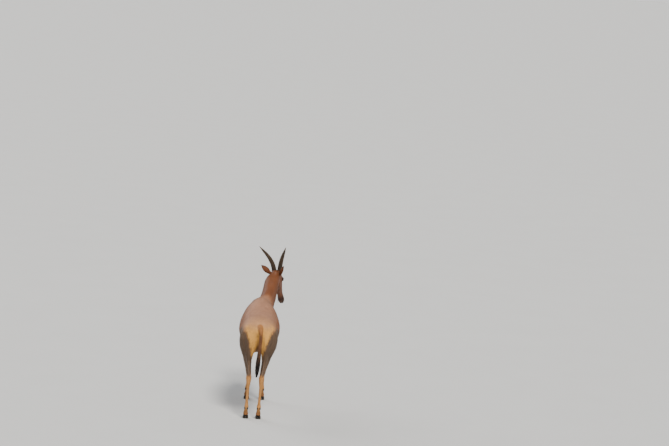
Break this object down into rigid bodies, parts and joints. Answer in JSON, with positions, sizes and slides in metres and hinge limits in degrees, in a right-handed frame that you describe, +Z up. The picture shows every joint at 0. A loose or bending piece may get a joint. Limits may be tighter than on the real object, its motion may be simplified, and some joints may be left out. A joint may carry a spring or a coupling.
{
  "type": "topi antelope",
  "caption": "Life-size still model of a topi antelope, standing with its head turned a little to its right, as a museum would show it.",
  "frame": {"origin": "on the floor under the middle of the bounding box", "axes": "+Z up; the animal faces -Y, and its left side is at +X"},
  "size_m": [0.4886, 1.5257, 1.7161],
  "materials": {
    "coat": "short glossy red-brown hair with slate patches on the thighs and shoulders, buff buttocks, ochre lower legs and a dark face",
    "tail_hair": "long coarse hair, brown above and black below",
    "horn": "ringed grey-brown horn, smooth and paler at the tips",
    "hoof": "black hoof horn",
    "eye": "wet dark brown"
  },
  "bodies": {
    "root": {"head": "coat", "neck": "coat", "trunk": "coat", "fore_leg_left": "coat", "fore_leg_right": "coat", "hind_leg_left": "coat", "hind_leg_right": "coat", "ear_left": "coat", "ear_right": "coat", "tail": "tail_hair", "horn_left": "horn", "eye_left": "eye", "hoof_fore_left": "hoof", "dewclaw_fore_left_inner": "hoof", "dewclaw_fore_left_outer": "hoof", "hoof_hind_left": "hoof", "dewclaw_hind_left_inner": "hoof", "dewclaw_hind_left_outer": "hoof", "horn_right": "horn", "eye_right": "eye", "hoof_fore_right": "hoof", "dewclaw_fore_right_inner": "hoof", "dewclaw_fore_right_outer": "hoof", "hoof_hind_right": "hoof", "dewclaw_hind_right_inner": "hoof", "dewclaw_hind_right_outer": "hoof"}
  },
  "joints": []
}
